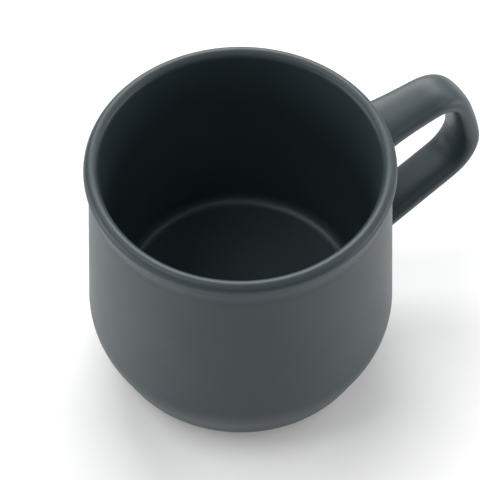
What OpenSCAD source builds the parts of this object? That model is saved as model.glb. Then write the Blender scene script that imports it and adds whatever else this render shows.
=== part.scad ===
// Heavy-walled stoneware mug with a rolled lip, a rounded base and a rounded strap handle.
// The glazed outside surface is drawn first; the fired clay lies one glaze thickness inside it.
// +Z is up, the origin is on the cup's axis in the plane the foot stands on, the handle is on +X.

/* [Cup outside] */
// Height from the foot to the crest of the lip
cup_h = 78; // [70:1:90]
// Largest radius, at the waist above the rounded base
cup_r = 43; // [41.5:0.5:46]
// How far the wall leans in towards the lip, in degrees
wall_lean = 4.1; // [2.5:0.1:5]
// Radius of the wall's curve at the waist
waist_r = 18.6; // [14:0.2:24]
// Slope of the straight flank below the waist, in degrees from vertical
flank_angle = 19; // [15:1:24]
// Length of the straight flank
flank_len = 8.4; // [5:0.2:9]
// Radius of the turn from the flank to the underside
turn_r = 8; // [6:0.5:10]

/* [Lip] */
// Radius of the rolled bead
bead_r = 1.9; // [1.6:0.1:2.2]
// How far the bead stands out past the top of the wall
bead_overhang = 0.8; // [0.4:0.1:1.2]
// Depth below the crest at which the shoulder begins
shoulder_depth = 9; // [8:0.5:11]
// Radius of the soft shoulder under the lip
shoulder_r = 14; // [10:0.5:18]
// How far the shoulder turns in, in degrees from vertical
shoulder_angle = 8; // [6:1:12]

/* [Cup inside] */
// Height of the inside floor above the foot plane
floor_z = 16; // [14:0.5:18]
// Radius of the inside wall where it meets the floor
floor_r = 35; // [34:0.25:36]
// Radius of the corner between the wall and the floor
corner_r = 3.5; // [2.5:0.25:6]

/* [Foot] */
// Outside radius of the bare foot ring
foot_r = 33; // [31:0.5:33.5]
// Height of the foot ring's upright side
foot_h = 2; // [1.5:0.1:2.5]
// Radius of the hollow under the cup
recess_r = 28.5; // [26:0.5:29.5]
// Depth of the hollow under the cup
recess_h = 6; // [3:0.5:7]

/* [Handle] */
// Width of the glazed strap, across the handle's plane
strap_w = 13; // [11:0.1:15]
// Thickness of the glazed strap, in the handle's plane
strap_t = 6; // [5:0.1:8]
// Squareness of the strap's section, where 2 is an ellipse
strap_squareness = 2.6; // [2.2:0.1:4]
// Swelling of the upper arm's width at the wall, as a share of the width
upper_flare = 0.34; // [0:0.02:0.36]
// Swelling of the lower arm's width at the wall, as a share of the width
lower_flare = 0.04; // [0:0.02:0.3]
// Height of the upper arm's middle line at the cup's largest radius
upper_z = 64.8; // [62:0.2:66]
// Rise of the upper arm away from the cup, in degrees
upper_rise = 7.5; // [0:0.5:11]
// Distance from the axis to the strap's outer run, halfway between the two roots
reach = 75.2; // [70:0.1:78]
// How far the outer run leans away from the cup at its foot, in degrees
outer_lean = 18.5; // [0:0.5:20]
// How much the outer run bows out, as the turn between its two ends, in degrees
outer_bow = 7.5; // [2:0.5:20]
// Height of the lower arm's middle line at the cup's largest radius
lower_z = 23.4; // [22:0.2:30]
// Climb of the lower arm away from the cup, in degrees
lower_climb = 25; // [14:1:28]
// Radius of the upper bend, at the strap's middle line
upper_bend_r = 9.5; // [8:0.5:14]
// Radius of the lower bend, at the strap's middle line
lower_bend_r = 11; // [9:0.5:13]

/* [Glaze and slip] */
// Thickness of the fired glaze
glaze_t = 0.35; // [0.25:0.05:0.5]
// Thickness of the slip that joins the strap to the cup
slip_t = 1; // [0.6:0.1:1.5]

/* [Hidden] */
$fn = 96;

clay_colour = [0.66, 0.60, 0.52];
slip_colour = [0.55, 0.49, 0.42];
glaze_colour = [0.26, 0.29, 0.30];

arc_step = 4;           // degrees between the points of a drawn arc
turn_end = 72;          // where the base turn meets the foot ring, in degrees below level
glaze_end = 58;         // where the outside glaze stops on the base turn, in degrees below level
recess_round = 2;       // radius of the corner inside the hollow of the foot
foot_break = 0.5;       // bevel on the foot ring's inner edge
base_margin = 3;        // bare border round the glaze inside the hollow of the foot
section_points = 32;    // points of the strap's section
arm_start = 35;         // distance from the axis where both arms begin, inside the cup
run_step = 4;           // length between stations on the strap's straight runs
bend_step = 7;          // degrees between stations on the strap's bends
bow_share = 0.9;        // share of the outer run's free length that its bow takes
flare_length = 9;       // distance over which an arm's swelling dies away from the wall

// Unit vector at an angle, and points along an arc, in degrees.
function unit(a) = [cos(a), sin(a)];
function arc(centre, r, from, to) =
    let (steps = max(2, ceil(abs(to - from) / arc_step)))
    [for (i = [0:steps]) centre + r * unit(from + (to - from) * i / steps)];
function reversed(points) = [for (i = [len(points) - 1:-1:0]) points[i]];
function crossing(p, a, q, b) =
    let (d = unit(a), e = unit(b), w = q - p, k = d.x * e.y - d.y * e.x)
    p + d * (w.x * e.y - w.y * e.x) / k;

// Centres of the arcs outside, from the foot up. Angles are the surface's slope: 0 faces level,
// positive faces up and negative faces down.
waist_centre = [cup_r - waist_r,
                foot_h + (turn_r - glaze_t) * sin(turn_end)
                + (waist_r - turn_r) * sin(flank_angle) + flank_len * cos(flank_angle)];
turn_centre = waist_centre + (waist_r - turn_r) * unit(-flank_angle)
              + flank_len * unit(-90 - flank_angle);
wall_top = crossing(waist_centre + waist_r * unit(wall_lean), 90 + wall_lean,
                    [0, cup_h - shoulder_depth], 0);
shoulder_centre = wall_top - shoulder_r * unit(wall_lean);
shoulder_end = shoulder_centre + shoulder_r * unit(shoulder_angle);
bead_centre = [wall_top.x + bead_overhang - bead_r, cup_h - bead_r];

// The neck is the hollow curve that touches both the shoulder and the bead.
neck_gap = shoulder_end - bead_centre;
neck_r = (neck_gap * neck_gap - bead_r * bead_r)
         / (2 * (bead_r - neck_gap * unit(shoulder_angle)));
neck_centre = shoulder_end + neck_r * unit(shoulder_angle);
bead_start = atan2(neck_centre.y - bead_centre.y, neck_centre.x - bead_centre.x);

// The inside wall runs straight from the bead to the corner at the floor.
wall_draft = atan((bead_centre.x - bead_r - floor_r) / (bead_centre.y - floor_z));
inner_normal = 180 - wall_draft;
corner_centre = crossing(bead_centre + bead_r * unit(inner_normal) + corner_r * unit(inner_normal),
                         -90 - wall_draft, [0, floor_z + corner_r], 0);

// Outside outline from the base turn to the crest, moved out by o.
function outside(o, start) = concat(
    arc(turn_centre, turn_r + o, -start, -flank_angle),
    arc(waist_centre, waist_r + o, -flank_angle, wall_lean),
    arc(shoulder_centre, shoulder_r + o, wall_lean, shoulder_angle),
    arc(neck_centre, -(neck_r - o), shoulder_angle, bead_start),
    arc(bead_centre, bead_r + o, bead_start, 90));

// Inside outline from the crest to the middle of the floor, moved out by o.
function inside(o) = concat(
    arc(bead_centre, bead_r + o, 90, inner_normal),
    arc(corner_centre, -(corner_r - o), inner_normal, 90),
    [[0, floor_z + o]]);

// Solid turned to the outside outline, filled to the axis.
module turned_cup(o) {
    rotate_extrude()
        polygon(concat([[0, foot_h]], outside(o, turn_end), [[0, cup_h + o]]));
}

// Directions of the strap's runs, its corners, and how much each bend takes of a run. The outer run
// is bowed: it has two slopes, joined halfway by a wide bend.
upper_dir = upper_rise;
outer_dir = -90 + outer_lean;
bow_start_dir = outer_dir + outer_bow / 2;
bow_end_dir = outer_dir - outer_bow / 2;
lower_dir = -180 + lower_climb;
middle_z = (upper_z + lower_z) / 2;
bow_corner = (crossing([cup_r, upper_z], upper_dir, [reach, middle_z], outer_dir)
              + crossing([cup_r, lower_z], lower_dir, [reach, middle_z], outer_dir)) / 2;
upper_corner = crossing([cup_r, upper_z], upper_dir, bow_corner, bow_start_dir);
lower_corner = crossing([cup_r, lower_z], lower_dir, bow_corner, bow_end_dir);
upper_trim = upper_bend_r * tan((upper_dir - bow_start_dir) / 2);
lower_trim = lower_bend_r * tan((bow_end_dir - lower_dir) / 2);
bow_trim = bow_share * min(norm(upper_corner - bow_corner) - upper_trim,
                           norm(lower_corner - bow_corner) - lower_trim);
upper_root = crossing([cup_r, upper_z], upper_dir, [arm_start, 0], 90);
lower_root = crossing([cup_r, lower_z], lower_dir, [arm_start, 0], 90);

// Stations along the strap's middle line, each [point, direction, width factor]. The width
// factor swells the strap where an arm nears the wall.
function swell(x, flare) = 1 + flare * exp(-max(0, x - cup_r + flare_length / 3) / flare_length);
function run(from, to, dir, flare) =
    let (steps = max(1, round(norm(to - from) / run_step)))
    [for (i = [0:steps]) let (p = from + (to - from) * i / steps) [p, dir, swell(p.x, flare)]];
function bend(corner, trim, from_dir, to_dir) =
    let (r = trim / tan((from_dir - to_dir) / 2),
         centre = corner - trim * unit(from_dir) + r * unit(from_dir - 90),
         steps = max(2, round((from_dir - to_dir) / bend_step)),
         turn = (to_dir - from_dir) / steps)
    [for (i = [1:steps - 1]) let (dir = from_dir + turn * i) [centre + r * unit(dir + 90), dir, 1]];
stations = concat(
    run(upper_root, upper_corner - upper_trim * unit(upper_dir), upper_dir, upper_flare),
    bend(upper_corner, upper_trim, upper_dir, bow_start_dir),
    run(upper_corner + upper_trim * unit(bow_start_dir), bow_corner - bow_trim * unit(bow_start_dir),
        bow_start_dir, 0),
    bend(bow_corner, bow_trim, bow_start_dir, bow_end_dir),
    run(bow_corner + bow_trim * unit(bow_end_dir), lower_corner - lower_trim * unit(bow_end_dir),
        bow_end_dir, 0),
    bend(lower_corner, lower_trim, bow_end_dir, lower_dir),
    run(lower_corner + lower_trim * unit(lower_dir), lower_root, lower_dir, lower_flare));

// One ring of the strap's section, moved out by o: a rounded oblong set square to the run.
function ring(station, o) =
    let (p = station[0],
         across = unit(station[1] - 90),
         power = 2 / strap_squareness,
         half_t = strap_t / 2 + o,
         half_w = strap_w / 2 * station[2] + o)
    [for (i = [0:section_points - 1])
        let (u = unit(360 * (i + 0.5) / section_points),
             t = half_t * sign(u.x) * pow(abs(u.x), power),
             w = half_w * sign(u.y) * pow(abs(u.y), power))
        [p.x + t * across.x, w, p.y + t * across.y]];

// Skin through rings of points. A row of rings has flat ends, and a loop of rings closes on itself.
module swept(rings, loop) {
    n = section_points;
    count = len(rings);
    polyhedron(
        points = [for (r = rings) each r],
        faces = concat(
            [for (k = [0:count - (loop ? 1 : 2)]) for (i = [0:n - 1])
                let (a = k * n, b = (k + 1) % count * n, j = (i + 1) % n)
                each [[a + i, b + i, a + j], [a + j, b + i, b + j]]],
            loop ? [] : [[for (i = [0:n - 1]) i], [for (i = [n - 1:-1:0]) (count - 1) * n + i]]));
}

// The strap, swept through its stations, with both ends inside the cup.
module strap(o) {
    swept([for (s = stations) ring(s, o)], false);
}

// The glaze round the strap: out along the glazed surface and back along the clay's.
module strap_skin() {
    swept(concat([for (s = stations) ring(s, 0)], [for (s = reversed(stations)) ring(s, -glaze_t)]), true);
}

// The end of the strap that lies above or below the middle height of the handle.
module strap_end(o, upper) {
    intersection() {
        strap(o);
        translate([0, -cup_r / 2, upper ? middle_z : 0])
            cube([cup_r + slip_t + strap_t, cup_r, middle_z]);
    }
}

// Layer of slip between the clay wall and one end of the strap.
module slip_layer(upper) {
    color(slip_colour)
        difference() {
            intersection() {
                strap_end(-glaze_t, upper);
                turned_cup(slip_t - glaze_t);
            }
            turned_cup(-glaze_t);
        }
}

// The thrown clay cup: wall, floor, lip and foot ring in one piece.
module cup_body() {
    hollow = recess_r - recess_round;
    color(clay_colour)
        rotate_extrude()
            polygon(concat(
                [[foot_r, 0], [foot_r, foot_h]],
                outside(-glaze_t, turn_end),
                inside(-glaze_t),
                [[0, recess_h]],
                arc([hollow, recess_h - recess_round], recess_round, 90, 0),
                [[recess_r, foot_break], [recess_r + foot_break, 0]]));
}

// The cast clay strap, cut to fit the slip on the wall at both ends.
module handle() {
    color(clay_colour)
        difference() {
            strap(-glaze_t);
            turned_cup(slip_t - glaze_t);
        }
}

module upper_slip_joint() {
    slip_layer(true);
}

module lower_slip_joint() {
    slip_layer(false);
}

// Sprayed glaze outside, from the base turn to the crest of the lip, open where the strap joins.
module outer_glaze() {
    color(glaze_colour)
        difference() {
            rotate_extrude()
                polygon(concat(outside(0, glaze_end), reversed(outside(-glaze_t, glaze_end))));
            strap(-glaze_t);
        }
}

// Poured glaze inside, from the crest of the lip to the floor.
module liner_glaze() {
    color(glaze_colour)
        rotate_extrude()
            polygon(concat(inside(0), reversed(inside(-glaze_t))));
}

module handle_glaze() {
    color(glaze_colour)
        difference() {
            strap_skin();
            turned_cup(0);
        }
}

// Disc of glaze on the roof of the hollow under the cup.
module base_glaze() {
    color(glaze_colour)
        translate([0, 0, recess_h - glaze_t])
            cylinder(h = glaze_t, r = recess_r - base_margin);
}

cup_body();
handle();
upper_slip_joint();
lower_slip_joint();
outer_glaze();
liner_glaze();
handle_glaze();
base_glaze();
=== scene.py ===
"""Charcoal stoneware mug: glazed skins, bare clay and a studio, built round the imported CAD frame."""

import math

import bpy
import numpy as np
from mathutils import Matrix, Vector


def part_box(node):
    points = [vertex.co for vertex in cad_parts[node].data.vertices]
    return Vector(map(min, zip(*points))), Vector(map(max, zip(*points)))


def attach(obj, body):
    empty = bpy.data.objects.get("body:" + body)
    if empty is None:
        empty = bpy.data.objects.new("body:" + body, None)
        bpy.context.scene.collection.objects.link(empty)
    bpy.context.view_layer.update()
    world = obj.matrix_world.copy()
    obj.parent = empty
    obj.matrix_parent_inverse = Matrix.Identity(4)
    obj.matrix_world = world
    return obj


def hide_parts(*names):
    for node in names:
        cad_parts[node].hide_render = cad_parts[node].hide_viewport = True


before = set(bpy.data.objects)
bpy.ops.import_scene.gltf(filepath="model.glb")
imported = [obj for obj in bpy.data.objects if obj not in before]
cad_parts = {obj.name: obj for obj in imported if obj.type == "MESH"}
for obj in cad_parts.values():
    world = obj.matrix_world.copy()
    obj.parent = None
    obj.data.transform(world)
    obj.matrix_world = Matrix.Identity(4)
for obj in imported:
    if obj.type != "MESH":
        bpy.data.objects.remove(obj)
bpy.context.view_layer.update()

MM = 0.001

# ---------------------------------------------------------------- sizes, in millimetres and degrees

# Taken from the frame.
GLAZE_BOX = [np.array(corner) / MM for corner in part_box("outer_glaze")]
CLAY_BOX = [np.array(corner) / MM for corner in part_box("cup_body")]
LINER_BOX = [np.array(corner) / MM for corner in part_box("liner_glaze")]
BASE_BOX = [np.array(corner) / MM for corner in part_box("base_glaze")]
CUP_H = GLAZE_BOX[1][2]
CUP_R = min(GLAZE_BOX[1][0], -GLAZE_BOX[0][0], GLAZE_BOX[1][1], -GLAZE_BOX[0][1])
GLAZE_T = CUP_H - CLAY_BOX[1][2]
FLOOR_Z = LINER_BOX[0][2] + GLAZE_T

# The outside outline, from the foot up.
FOOT_R = 33.0
FOOT_H = 2.0
TURN_R = 8.0
TURN_END = 72.0
GLAZE_END = 58.0
FLANK_ANGLE = 19.0
FLANK_LEN = 8.4
WAIST_R = 18.6
WALL_LEAN = 4.1
SHOULDER_DEPTH = 9.0
SHOULDER_R = 14.0
SHOULDER_ANGLE = 8.0
BEAD_R = 1.9
BEAD_OVERHANG = 0.8

# The inside and the underside.
FLOOR_R = 35.0
CORNER_R = 3.5
RECESS_R = 28.5
RECESS_H = 6.0
RECESS_ROUND = 2.0
FOOT_BREAK = 0.5
FOOT_EDGE = 0.25

# The strap.
STRAP_W = 13.0
STRAP_T = 6.0
SQUARENESS = 2.6
UPPER_FLARE = 0.34
LOWER_FLARE = 0.04
FLARE_LENGTH = 9.0
FLARE_BURIED = FLARE_LENGTH / 3
UPPER_Z = 64.8
UPPER_RISE = 7.5
REACH = 75.2
OUTER_LEAN = 18.5
OUTER_BOW = 7.5
BOW_SHARE = 0.9
LOWER_Z = 23.4
LOWER_CLIMB = 25.0
UPPER_BEND_R = 9.5
LOWER_BEND_R = 11.0
ARM_START = 35.0
BEND_SOFTENING = 3.0
ROOT_FILLET = 2.2
FILLET_SINK = 0.015
FILLET_ROOT_DEPTH = 0.6

# How finely the skins are drawn.
TOUCHING = 1e-6
TURNS = 360
ARC_STEP = 2.0
LINE_STEP = 1.5
SECTION_SAMPLES = 4001
SECTION_POINTS = 112
STATION_STEP = 0.6
FILLET_RINGS = 12
OPEN_SHARE = 0.3
HALVINGS = 40


# ---------------------------------------------------------------- outlines

def unit(angle):
    """The direction at an angle in the plane of the outline."""
    return np.array([math.cos(math.radians(angle)), math.sin(math.radians(angle))])


def arc(centre, radius, start, end):
    """Points along an arc. A negative radius puts them on the other side of the centre."""
    steps = max(3, math.ceil(abs(end - start) / ARC_STEP))
    return [centre + radius * unit(start + (end - start) * i / steps) for i in range(steps + 1)]


def crossing(p, a, q, b):
    """Where the line through p at angle a meets the line through q at angle b."""
    d, e, w = unit(a), unit(b), np.asarray(q) - p
    return p + d * (w[0] * e[1] - w[1] * e[0]) / (d[0] * e[1] - d[1] * e[0])


def drawn(points):
    """The same outline with its long straight stretches cut into short ones."""
    out = [np.asarray(points[0], float)]
    for point in points[1:]:
        gap = np.linalg.norm(point - out[-1])
        if gap < TOUCHING:
            continue
        start, count = out[-1], max(1, math.ceil(gap / LINE_STEP))
        out += [start + (point - start) * i / count for i in range(1, count + 1)]
    return out


waist_centre = np.array([
    CUP_R - WAIST_R,
    FOOT_H + (TURN_R - GLAZE_T) * math.sin(math.radians(TURN_END))
    - (WAIST_R - TURN_R) * unit(-FLANK_ANGLE)[1] + FLANK_LEN * unit(FLANK_ANGLE)[0]])
turn_centre = (waist_centre + (WAIST_R - TURN_R) * unit(-FLANK_ANGLE)
               + FLANK_LEN * unit(-90 - FLANK_ANGLE))
wall_top = crossing(waist_centre + WAIST_R * unit(WALL_LEAN), 90 + WALL_LEAN,
                    (0, CUP_H - SHOULDER_DEPTH), 0)
shoulder_centre = wall_top - SHOULDER_R * unit(WALL_LEAN)
shoulder_end = shoulder_centre + SHOULDER_R * unit(SHOULDER_ANGLE)
bead_centre = np.array([wall_top[0] + BEAD_OVERHANG - BEAD_R, CUP_H - BEAD_R])
neck_gap = shoulder_end - bead_centre
neck_r = (neck_gap @ neck_gap - BEAD_R ** 2) / (2 * (BEAD_R - neck_gap @ unit(SHOULDER_ANGLE)))
neck_centre = shoulder_end + neck_r * unit(SHOULDER_ANGLE)
bead_start = math.degrees(math.atan2(*(neck_centre - bead_centre)[::-1]))
wall_draft = math.degrees(math.atan((bead_centre[0] - BEAD_R - FLOOR_R) / (bead_centre[1] - FLOOR_Z)))
inner_normal = 180 - wall_draft
corner_centre = crossing(bead_centre + (BEAD_R + CORNER_R) * unit(inner_normal), -90 - wall_draft,
                         (0, FLOOR_Z + CORNER_R), 0)


def outside(out, start=TURN_END):
    """The outside from the base turn to the crest of the lip, moved out by a distance."""
    return (arc(turn_centre, TURN_R + out, -start, -FLANK_ANGLE)
            + arc(waist_centre, WAIST_R + out, -FLANK_ANGLE, WALL_LEAN)
            + arc(shoulder_centre, SHOULDER_R + out, WALL_LEAN, SHOULDER_ANGLE)
            + arc(neck_centre, -(neck_r - out), SHOULDER_ANGLE, bead_start)
            + arc(bead_centre, BEAD_R + out, bead_start, 90))


def inside(out):
    """The inside from the crest of the lip to the middle of the floor, moved out by a distance."""
    return (arc(bead_centre, BEAD_R + out, 90, inner_normal)
            + arc(corner_centre, -(CORNER_R - out), inner_normal, 90)
            + [np.array([0.0, FLOOR_Z + out])])


# ---------------------------------------------------------------- mesh building

def add_mesh(name, points, faces, sharp_rings=()):
    """A smooth-shaded object from points in millimetres. The edges of a sharp ring keep their crease."""
    mesh = bpy.data.meshes.new(name)
    mesh.from_pydata((np.asarray(points) * MM).tolist(), [], faces)
    mesh.validate()
    mesh.polygons.foreach_set("use_smooth", [True] * len(mesh.polygons))
    if sharp_rings:
        ring_of = {v: k for k, ring in enumerate(sharp_rings) for v in ring}
        for edge in mesh.edges:
            a, b = edge.vertices
            if a in ring_of and ring_of.get(b) == ring_of[a]:
                edge.use_edge_sharp = True
    mesh.update()
    obj = bpy.data.objects.new(name, mesh)
    bpy.context.scene.collection.objects.link(obj)
    return obj


def lathe(name, outline, sharp=()):
    """Turns a closed outline of (radius, height) about Z.

    Sharp lists the outline points that are creases.
    """
    angles = np.linspace(0, 2 * math.pi, TURNS, endpoint=False)
    points, rings = [], []
    for k, (radius, height) in enumerate(outline):
        if radius < TOUCHING:
            rings.append([len(points)])
            points.append((0.0, 0.0, height))
            continue
        rings.append(list(range(len(points), len(points) + TURNS)))
        points += list(zip(radius * np.cos(angles), radius * np.sin(angles), np.full(TURNS, height)))
    faces = []
    for low, high in zip(rings, rings[1:] + rings[:1]):
        for i in range(TURNS):
            j = (i + 1) % TURNS
            quad = [low[i % len(low)], low[j % len(low)], high[j % len(high)], high[i % len(high)]]
            face = list(dict.fromkeys(quad))
            if len(face) > 2:
                faces.append(face)
    return add_mesh(name, points, faces, [rings[k] for k in sharp])


# ---------------------------------------------------------------- the turned pieces

def make_outer_skin():
    """Sprayed glaze outside, with a rounded lower edge where the foot was wiped clean."""
    face, back = outside(0.0, GLAZE_END), outside(-GLAZE_T, GLAZE_END)
    edge_centre = (face[0] + back[0]) / 2
    roll = arc(edge_centre, GLAZE_T / 2, 180 - GLAZE_END, 360 - GLAZE_END)[1:-1]
    outline = drawn(roll + face) + drawn(back[::-1])
    crest = max(range(len(outline)), key=lambda k: outline[k][1])
    return lathe("outer_skin", outline, sharp=(crest, crest + 1))


def make_liner_skin():
    """Poured glaze inside."""
    face, back = drawn(inside(0.0)), drawn(inside(-GLAZE_T))[::-1]
    return lathe("liner_skin", face + back, sharp=(0, len(face) + len(back) - 1))


def make_cup_clay():
    """The clay cup with its bare foot."""
    hollow = RECESS_R - RECESS_ROUND
    outline = (
        arc(np.array([FOOT_R - FOOT_EDGE, FOOT_EDGE]), FOOT_EDGE, -90, 0)
        + [np.array([FOOT_R, FOOT_H])]
        + outside(-GLAZE_T)
        + inside(-GLAZE_T)
        + [np.array([0.0, RECESS_H])]
        + arc(np.array([hollow, RECESS_H - RECESS_ROUND]), RECESS_ROUND, 90, 0)
        + [np.array([RECESS_R, FOOT_BREAK]), np.array([RECESS_R + FOOT_BREAK, 0.0])])
    return lathe("cup_clay", drawn(outline))


def make_base_skin():
    """Glaze on the roof of the hollow under the cup, with a rounded edge."""
    edge_r = BASE_BOX[1][0]
    low, high = BASE_BOX[0][2], BASE_BOX[1][2]
    roll = arc(np.array([edge_r - GLAZE_T, high]), GLAZE_T, -90, 0)
    outline = drawn([np.array([0.0, low])] + roll + [np.array([0.0, high])])
    return lathe("base_skin", outline)


outer_skin = make_outer_skin()
liner_skin = make_liner_skin()
cup_clay = make_cup_clay()
base_skin = make_base_skin()


# ---------------------------------------------------------------- the strap

def bend(corner, trim, start_dir, end_dir):
    """The arc that rounds a corner, starting and ending at a distance from it."""
    radius = trim / math.tan(math.radians(start_dir - end_dir) / 2)
    centre = corner - trim * unit(start_dir) + radius * unit(start_dir - 90)
    return arc(centre, radius, start_dir + 90, end_dir + 90)


def strap_path():
    """Evenly spaced points and directions along the strap's middle line, softened at the bends."""
    upper_dir, outer_dir, lower_dir = UPPER_RISE, -90 + OUTER_LEAN, -180 + LOWER_CLIMB
    bow_start_dir, bow_end_dir = outer_dir + OUTER_BOW / 2, outer_dir - OUTER_BOW / 2
    upper_wall, lower_wall = np.array([CUP_R, UPPER_Z]), np.array([CUP_R, LOWER_Z])
    middle = np.array([REACH, (UPPER_Z + LOWER_Z) / 2])
    bow = (crossing(upper_wall, upper_dir, middle, outer_dir)
           + crossing(lower_wall, lower_dir, middle, outer_dir)) / 2
    upper = crossing(upper_wall, upper_dir, bow, bow_start_dir)
    lower = crossing(lower_wall, lower_dir, bow, bow_end_dir)
    upper_trim = UPPER_BEND_R * math.tan(math.radians(upper_dir - bow_start_dir) / 2)
    lower_trim = LOWER_BEND_R * math.tan(math.radians(bow_end_dir - lower_dir) / 2)
    bow_trim = BOW_SHARE * min(np.linalg.norm(upper - bow) - upper_trim,
                               np.linalg.norm(lower - bow) - lower_trim)
    corners = (
        [crossing(upper_wall, upper_dir, (ARM_START, 0), 90)]
        + bend(upper, upper_trim, upper_dir, bow_start_dir)
        + bend(bow, bow_trim, bow_start_dir, bow_end_dir)
        + bend(lower, lower_trim, bow_end_dir, lower_dir)
        + [crossing(lower_wall, lower_dir, (ARM_START, 0), 90)])
    corners = np.array(corners)
    length = np.concatenate([[0], np.cumsum(np.linalg.norm(np.diff(corners, axis=0), axis=1))])
    count = round(length[-1] / STATION_STEP)
    s = np.linspace(0, length[-1], count + 1)
    path = np.stack([np.interp(s, length, corners[:, k]) for k in (0, 1)], axis=1)
    soften = round(BEND_SOFTENING / STATION_STEP)
    kernel = np.hanning(2 * soften + 3)[1:-1]
    kernel /= kernel.sum()
    for k in (0, 1):
        lead = 2 * path[0, k] - path[soften:0:-1, k]
        tail = 2 * path[-1, k] - path[-2:-soften - 2:-1, k]
        path[:, k] = np.convolve(np.concatenate([lead, path[:, k], tail]), kernel, mode="valid")
    heading = np.gradient(path, axis=0)
    heading /= np.linalg.norm(heading, axis=1)[:, None]
    return path, heading


def strap_section(half_t, half_w):
    """Points round the strap's section, evenly spaced along it, as thickness and width."""
    u = np.radians(np.linspace(0, 360, SECTION_SAMPLES))
    power = 2 / SQUARENESS
    x = half_t * np.sign(np.cos(u)) * np.abs(np.cos(u)) ** power
    y = half_w * np.sign(np.sin(u)) * np.abs(np.sin(u)) ** power
    length = np.concatenate([[0], np.cumsum(np.hypot(np.diff(x), np.diff(y)))])
    even = np.linspace(0, length[-1], SECTION_POINTS, endpoint=False)
    return np.interp(even, length, x), np.interp(even, length, y)


class Strap:
    """The strap's surface as a function of the station and the point round the section."""

    def __init__(self):
        self.path, self.heading = strap_path()
        self.last = len(self.path) - 1
        self.t, self.w = strap_section(STRAP_T / 2, STRAP_W / 2)
        self.normal_t, self.normal_w = self.section_normals()
        upper_half = self.path[:, 1] > (UPPER_Z + LOWER_Z) / 2
        flare = np.where(upper_half, UPPER_FLARE, LOWER_FLARE)
        distance = np.maximum(0, self.path[:, 0] - CUP_R + FLARE_BURIED)
        self.width = 1 + flare * np.exp(-distance / FLARE_LENGTH)

    def section_normals(self):
        """The outward normals of the section, across its thickness and its width."""
        tangent_t = np.roll(self.t, -1) - np.roll(self.t, 1)
        tangent_w = np.roll(self.w, -1) - np.roll(self.w, 1)
        size = np.hypot(tangent_t, tangent_w)
        return tangent_w / size, -tangent_t / size

    def at(self, s, j):
        """The surface points at fractional stations s for section points j, with the normals there."""
        k = np.clip(np.floor(s).astype(int), 0, self.last - 1)
        f = (s - k)[..., None]
        p = self.path[k] * (1 - f) + self.path[k + 1] * f
        h = self.heading[k] * (1 - f) + self.heading[k + 1] * f
        h /= np.linalg.norm(h, axis=-1)[..., None]
        width = self.width[k] * (1 - f[..., 0]) + self.width[k + 1] * f[..., 0]
        across = np.stack([h[..., 1], -h[..., 0]], axis=-1)
        xz = p + across * self.t[j][..., None]
        point = np.stack([xz[..., 0], self.w[j] * width, xz[..., 1]], axis=-1)
        normal = np.stack([across[..., 0] * self.normal_t[j], self.normal_w[j],
                           across[..., 1] * self.normal_t[j]], axis=-1)
        return point, normal


# The outside of the wall below the bead, where height fixes radius.
wall_line = np.array(outside(0.0))
wall_line = wall_line[wall_line[:, 1] < bead_centre[1] - BEAD_R]


def wall_radius(z):
    """The outside radius of the wall at a height."""
    return np.interp(z, wall_line[:, 1], wall_line[:, 0])


def onto_wall(points, sink):
    """The nearest place on the cup's wall at the same height, sunk in by a little."""
    size = np.hypot(points[:, 0], points[:, 1])
    scale = (wall_radius(points[:, 2]) - sink) / size
    return np.stack([points[:, 0] * scale, points[:, 1] * scale, points[:, 2]], axis=1)


def root_stations(strap, upper):
    """For each section point, the fractional station at which the strap comes out of the wall.

    It is found by halving between a station inside the wall and one outside it.
    """
    j = np.arange(SECTION_POINTS)
    buried_end, open_end = (0.0, OPEN_SHARE) if upper else (1.0, 1.0 - OPEN_SHARE)
    low = np.full(SECTION_POINTS, strap.last * buried_end)
    high = np.full(SECTION_POINTS, strap.last * open_end)
    for _ in range(HALVINGS):
        middle = (low + high) / 2
        point, _normal = strap.at(middle, j)
        buried = np.hypot(point[:, 0], point[:, 1]) < wall_radius(point[:, 2])
        low = np.where(buried, middle, low)
        high = np.where(buried, high, middle)
    return (low + high) / 2


def root_rings(strap, upper):
    """Rings of the fillet from the wall out to the strap, and the stations where they end."""
    j = np.arange(SECTION_POINTS)
    start = root_stations(strap, upper)
    step = ROOT_FILLET / STATION_STEP * (1 if upper else -1)
    hit, normal = strap.at(start, j)
    end, _normal = strap.at(start + step, j)
    spread = onto_wall(hit + normal * ROOT_FILLET, FILLET_SINK)
    rings = [onto_wall(spread, FILLET_ROOT_DEPTH)]
    for k in range(FILLET_RINGS + 1):
        t = k / FILLET_RINGS
        rings.append(spread * (1 - t) ** 2 + hit * 2 * t * (1 - t) + end * t ** 2)
    return rings, start + step


def make_handle_skin():
    """The glazed strap, filleted into the wall at both roots."""
    strap = Strap()
    j = np.arange(SECTION_POINTS)
    upper, upper_end = root_rings(strap, True)
    lower, lower_end = root_rings(strap, False)
    count = strap.last
    rings = list(upper)
    for k in range(1, count):
        f = k / count
        rings.append(strap.at(upper_end + (lower_end - upper_end) * f, j)[0])
    rings += lower[::-1]
    return close_rings("handle_skin", rings, sharp=(1, len(rings) - 2))


def close_rings(name, rings, sharp=()):
    """A closed tube through rings of points, capped at both ends by a fan."""
    n = len(rings[0])
    points = [p for ring in rings for p in ring]
    faces = []
    for k in range(len(rings) - 1):
        for i in range(n):
            a, b = k * n + i, k * n + (i + 1) % n
            faces.append([a, a + n, b + n, b])
    for k, flip in ((0, 1), (len(rings) - 1, -1)):
        hub = len(points)
        points.append(np.mean(rings[k], axis=0))
        for i in range(n):
            a, b = k * n + i, k * n + (i + 1) % n
            faces.append([hub, a, b][::flip])
    return add_mesh(name, points, faces, [range(k * n, (k + 1) * n) for k in sharp])


handle_skin = make_handle_skin()


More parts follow.
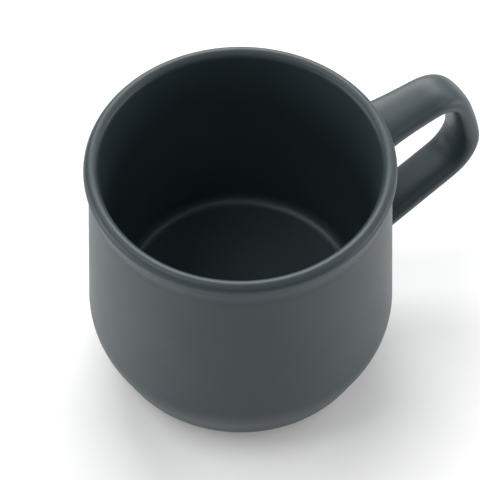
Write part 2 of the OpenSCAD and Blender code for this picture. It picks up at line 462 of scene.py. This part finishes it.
# ---------------------------------------------------------------- materials
# Linear colours.
WHITE = (1.0, 1.0, 1.0)
GLAZE_DARK = (0.0245, 0.038, 0.044)
GLAZE_LIGHT = (0.0295, 0.0445, 0.051)
CLAY_DARK = (0.36, 0.30, 0.235)
CLAY_LIGHT = (0.47, 0.40, 0.32)
GROG = (0.35, 0.30, 0.26)
FLOOR_DARK = (0.90, 0.90, 0.90)
FLOOR_LIGHT = (0.92, 0.92, 0.92)

# Bump heights, in metres.
GLAZE_GRAIN = 0.000012
GLAZE_SWAY = 0.00006
CLAY_GRAIN = 0.00004


def new_material(name):
    """A node material, with its node list, its links and its main shader."""
    material = bpy.data.materials.new(name)
    material.use_nodes = True
    nodes, links = material.node_tree.nodes, material.node_tree.links
    return material, nodes, links, nodes["Principled BSDF"]


def noise(nodes, links, coords, scale, detail, roughness):
    """Noise on the object's own coordinates. The scale is per metre."""
    node = nodes.new("ShaderNodeTexNoise")
    node.inputs["Scale"].default_value = scale
    node.inputs["Detail"].default_value = detail
    node.inputs["Roughness"].default_value = roughness
    links.new(coords.outputs["Object"], node.inputs["Vector"])
    return node


def ramp(nodes, links, source, stops):
    """Colours blended between stops, each a place from 0 to 1 and a colour."""
    node = nodes.new("ShaderNodeValToRGB")
    elements = node.color_ramp.elements
    for k, (place, colour) in enumerate(stops):
        element = elements[k] if k < 2 else elements.new(place)
        element.position = place
        element.color = (*colour, 1.0)
    links.new(source, node.inputs["Fac"])
    return node


def map_range(nodes, links, source, low, high):
    """Stretches 0 to 1 onto low to high."""
    node = nodes.new("ShaderNodeMapRange")
    node.inputs["To Min"].default_value = low
    node.inputs["To Max"].default_value = high
    links.new(source, node.inputs["Value"])
    return node


def bump(nodes, links, source, height, under=None):
    """Relief of a height, laid over another relief where one is given."""
    node = nodes.new("ShaderNodeBump")
    node.inputs["Strength"].default_value = 1.0
    node.inputs["Distance"].default_value = height
    links.new(source, node.inputs["Height"])
    if under is not None:
        links.new(under.outputs["Normal"], node.inputs["Normal"])
    return node


def glaze_material():
    """Satin-matt charcoal glaze: soft mottling, a fine dry grain and a faint unevenness."""
    material, nodes, links, shader = new_material("charcoal_glaze")
    coords = nodes.new("ShaderNodeTexCoord")
    cloud = noise(nodes, links, coords, 55.0, 5.0, 0.55)
    grain = noise(nodes, links, coords, 2600.0, 3.0, 0.6)
    sway = noise(nodes, links, coords, 140.0, 2.0, 0.4)
    colour = ramp(nodes, links, cloud.outputs["Fac"], [(0.30, GLAZE_DARK), (0.72, GLAZE_LIGHT)])
    links.new(colour.outputs["Color"], shader.inputs["Base Color"])
    rough = map_range(nodes, links, cloud.outputs["Fac"], 0.46, 0.40)
    links.new(rough.outputs["Result"], shader.inputs["Roughness"])
    fine = bump(nodes, links, grain.outputs["Fac"], GLAZE_GRAIN)
    soft = bump(nodes, links, sway.outputs["Fac"], GLAZE_SWAY, under=fine)
    links.new(soft.outputs["Normal"], shader.inputs["Normal"])
    shader.inputs["IOR"].default_value = 1.42
    return material


def clay_material():
    """Bare fired stoneware: buff and dry, with grog specks and a fine grain."""
    material, nodes, links, shader = new_material("bare_stoneware")
    coords = nodes.new("ShaderNodeTexCoord")
    cloud = noise(nodes, links, coords, 90.0, 6.0, 0.6)
    speck = noise(nodes, links, coords, 1500.0, 2.0, 0.5)
    body = ramp(nodes, links, cloud.outputs["Fac"], [(0.3, CLAY_DARK), (0.7, CLAY_LIGHT)])
    specks = ramp(nodes, links, speck.outputs["Fac"], [(0.34, GROG), (0.40, WHITE)])
    mix = nodes.new("ShaderNodeMix")
    mix.data_type = "RGBA"
    mix.blend_type = "MULTIPLY"
    mix.inputs["Factor"].default_value = 1.0
    links.new(body.outputs["Color"], mix.inputs["A"])
    links.new(specks.outputs["Color"], mix.inputs["B"])
    links.new(mix.outputs["Result"], shader.inputs["Base Color"])
    rough = map_range(nodes, links, cloud.outputs["Fac"], 0.82, 0.93)
    links.new(rough.outputs["Result"], shader.inputs["Roughness"])
    grain = bump(nodes, links, speck.outputs["Fac"], CLAY_GRAIN)
    links.new(grain.outputs["Normal"], shader.inputs["Normal"])
    return material


def floor_material():
    """Matt white card with a faint unevenness."""
    material, nodes, links, shader = new_material("studio_floor")
    coords = nodes.new("ShaderNodeTexCoord")
    cloud = noise(nodes, links, coords, 3.0, 2.0, 0.5)
    colour = ramp(nodes, links, cloud.outputs["Fac"], [(0.2, FLOOR_DARK), (0.8, FLOOR_LIGHT)])
    links.new(colour.outputs["Color"], shader.inputs["Base Color"])
    shader.inputs["Roughness"].default_value = 0.9
    shader.inputs["Specular IOR Level"].default_value = 0.1
    return material


glaze = glaze_material()
clay = clay_material()

for piece in (outer_skin, liner_skin, handle_skin, base_skin):
    piece.data.materials.append(glaze)
cup_clay.data.materials.append(clay)

for name in ("handle", "upper_slip_joint", "lower_slip_joint"):
    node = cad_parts[name]
    for slot in node.material_slots:
        slot.material = clay

for piece, node in (
        (outer_skin, "outer_glaze"), (liner_skin, "liner_glaze"), (handle_skin, "handle_glaze"),
        (base_skin, "base_glaze"), (cup_clay, "cup_body")):
    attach(piece, "root")
    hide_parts(node)


# ---------------------------------------------------------------- studio

VIEW_AZIMUTH = -30.9
VIEW_ELEVATION = 54.02
VIEW_DISTANCE = 0.450
VIEW_ROLL = -0.2
TARGET = Vector((0.0, 0.0, 0.0432))
LENS = 123.5
SENSOR_WIDTH = 36.0
LENS_SHIFT = -0.0011458
LIGHT_DISTANCE = 1.6
WORLD_STRENGTH = 0.10
FLOOR_HALF = 3000.0
FLOOR_STEPS = 24
FLOOR_GAP = 0.02


def make_camera():
    """The photo's viewpoint: angles about the mug, a distance, a slight roll and a slight shift."""
    data = bpy.data.cameras.new("camera")
    camera = bpy.data.objects.new("camera", data)
    bpy.context.scene.collection.objects.link(camera)
    a, e = math.radians(VIEW_AZIMUTH), math.radians(VIEW_ELEVATION)
    away = Vector((math.sin(a) * math.cos(e), -math.cos(a) * math.cos(e), math.sin(e)))
    camera.location = TARGET + away * VIEW_DISTANCE
    turn = Matrix.Rotation(a, 4, "Z") @ Matrix.Rotation(math.pi / 2 - e, 4, "X")
    turn = turn @ Matrix.Rotation(math.radians(VIEW_ROLL), 4, "Z")
    camera.rotation_euler = turn.to_euler()
    data.sensor_width = SENSOR_WIDTH
    data.lens = LENS
    data.shift_x = LENS_SHIFT
    data.clip_start = 0.01
    data.clip_end = 20.0
    data.dof.use_dof = False
    bpy.context.scene.camera = camera


def softbox(name, turn, rise, width, height, radiance):
    """A soft light of even brightness that faces the mug, placed by angles as seen from the camera."""
    a, e = math.radians(VIEW_AZIMUTH + turn), math.radians(rise)
    away = Vector((math.sin(a) * math.cos(e), -math.cos(a) * math.cos(e), math.sin(e)))
    data = bpy.data.lights.new(name, "AREA")
    data.shape = "RECTANGLE"
    data.size = width
    data.size_y = height
    data.energy = math.pi * width * height * radiance
    light = bpy.data.objects.new(name, data)
    light.location = TARGET + away * LIGHT_DISTANCE
    light.rotation_euler = (-away).to_track_quat("-Z", "Y").to_euler()
    light.visible_camera = False
    bpy.context.scene.collection.objects.link(light)


def make_floor():
    """A wide pale floor, a hair below the foot so that the two faces don't coincide."""
    grid = np.linspace(-FLOOR_HALF, FLOOR_HALF, FLOOR_STEPS + 1)
    points = [(x, y, -FLOOR_GAP) for x in grid for y in grid]
    n = FLOOR_STEPS + 1
    faces = [[i * n + j, (i + 1) * n + j, (i + 1) * n + j + 1, i * n + j + 1]
             for i in range(FLOOR_STEPS) for j in range(FLOOR_STEPS)]
    floor = add_mesh("studio_floor", points, faces)
    floor.data.materials.append(floor_material())


def make_world():
    """A faint even light from all round."""
    world = bpy.data.worlds.new("studio")
    world.use_nodes = True
    background = world.node_tree.nodes["Background"]
    background.inputs["Color"].default_value = (*WHITE, 1.0)
    background.inputs["Strength"].default_value = WORLD_STRENGTH
    bpy.context.scene.world = world


make_camera()
make_floor()
make_world()
softbox("back_softbox", 182.0, 34.0, 1.3, 0.95, 7.6)
softbox("left_strip", 270.0, 14.0, 1.2, 0.6, 5.6)
softbox("front_left_strip", 315.0, 12.0, 0.9, 0.5, 1.6)
softbox("right_strip", 90.0, 10.0, 1.2, 0.55, 4.9)
softbox("back_right_softbox", 132.0, 30.0, 0.7, 0.5, 3.5)
softbox("right_softbox", 90.0, 50.0, 0.8, 0.55, 2.7)
softbox("top_left_softbox", 270.0, 64.0, 0.85, 0.55, 5.7)
softbox("front_fill", 5.0, 50.0, 1.7, 1.3, 0.76)

scene = bpy.context.scene
scene.view_settings.view_transform = "Standard"
scene.view_settings.look = "None"
scene.view_settings.exposure = 0.0
